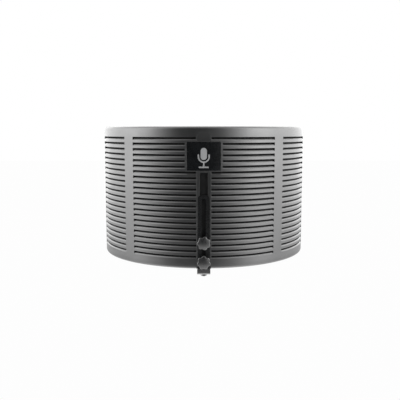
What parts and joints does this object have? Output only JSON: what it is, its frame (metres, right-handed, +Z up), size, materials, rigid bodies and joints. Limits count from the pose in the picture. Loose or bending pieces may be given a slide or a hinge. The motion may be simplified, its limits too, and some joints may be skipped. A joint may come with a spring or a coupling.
{
  "type": "microphone isolation shield",
  "caption": "Half-round slotted metal shield with layered absorbers, lifting on a slotted bracket over a sliding arm with a stand socket and a microphone post.",
  "frame": {"origin": "mouth of the stand socket's female thread, on the stand's axis", "axes": "+Z up along the stand axis, +Y towards the singer's open side, +X across the shield's width"},
  "size_m": [0.408, 0.2595, 0.2865],
  "materials": {
    "shell_paint": "satin dark grey metallic paint with fine grain over pressed sheet",
    "black_felt": "dense black wool felt",
    "grey_felt": "dark charcoal wool, fluted",
    "foil": "dull rolled sheet",
    "foam": "closed-cell foam strips",
    "perforated_aluminium": "punched sheet",
    "black_powder_coat": "fine-textured black powder coat",
    "black_screws": "black oxide",
    "zinc_steel": "bright zinc plate",
    "badge_black": "satin black",
    "emblem_silver": "satin",
    "black_nylon": "moulded glass-filled nylon, light spark texture",
    "brass_insert": "turned",
    "black_zinc": "black zinc plate, turned",
    "bright_steel": "turned and plated"
  },
  "bodies": {
    "stand": {"stand_socket": "black_zinc"},
    "stand_clamp": {"socket_washer": "zinc_steel", "socket_nut": "zinc_steel"},
    "arm": {"support_arm": "black_powder_coat", "lift_bracket": "black_powder_coat", "bracket_bolts": "zinc_steel", "bracket_nuts": "zinc_steel"},
    "mic_carrier": {"mic_post": "bright_steel", "mic_post_washer": "zinc_steel", "mic_post_nut": "zinc_steel"},
    "shield": {"outer_shell": "shell_paint", "outer_felt": "black_felt", "foil_sheet": "foil", "spacer_strips": "foam", "perforated_sheet": "perforated_aluminium", "inner_absorber": "grey_felt", "inner_frame": "black_powder_coat", "frame_screws": "black_screws", "spine_plate": "black_powder_coat", "mounting_studs": "zinc_steel", "spine_screws": "zinc_steel", "badge_plate": "badge_black", "badge_emblem": "emblem_silver"},
    "upper_travel": {"upper_washer": "zinc_steel"},
    "upper_grip": {"upper_knob": "black_nylon", "upper_knob_insert": "brass_insert"},
    "lower_travel": {"lower_washer": "zinc_steel"},
    "lower_grip": {"lower_knob": "black_nylon", "lower_knob_insert": "brass_insert"}
  },
  "joints": [
    {"name": "stand_swivel", "type": "hinge", "parent": "stand", "child": "stand_clamp", "pos_m": [0, 0, 0.032], "axis": [0, 0, 1], "continuous": true},
    {"name": "reach_slide", "type": "slide", "parent": "stand_clamp", "child": "arm", "axis": [0, 1, 0], "range_m": [-0.04, 0.04]},
    {"name": "mic_post_slide", "type": "slide", "parent": "arm", "child": "mic_carrier", "axis": [0, 1, 0], "range_m": [-0.012, 0.04]},
    {"name": "shield_lift", "type": "slide", "parent": "arm", "child": "shield", "axis": [0, 0, 1], "range_m": [0, 0.074]},
    {"name": "upper_knob_travel", "type": "slide", "parent": "shield", "child": "upper_travel", "axis": [0, -1, 0], "range_m": [0, 0.002]},
    {"name": "upper_knob_turn", "type": "hinge", "parent": "upper_travel", "child": "upper_grip", "pos_m": [0, -0.116, 0.083], "axis": [0, -1, 0], "range_deg": [0, 719]},
    {"name": "lower_knob_travel", "type": "slide", "parent": "shield", "child": "lower_travel", "axis": [0, -1, 0], "range_m": [0, 0.002]},
    {"name": "lower_knob_turn", "type": "hinge", "parent": "lower_travel", "child": "lower_grip", "pos_m": [0, -0.116, 0.0485], "axis": [0, -1, 0], "range_deg": [0, 719]}
  ],
  "couplings": [
    {"joint": "upper_knob_travel", "follows": "upper_knob_turn", "m_per_rad": 0.00015915},
    {"joint": "lower_knob_travel", "follows": "lower_knob_turn", "m_per_rad": 0.00015915}
  ]
}
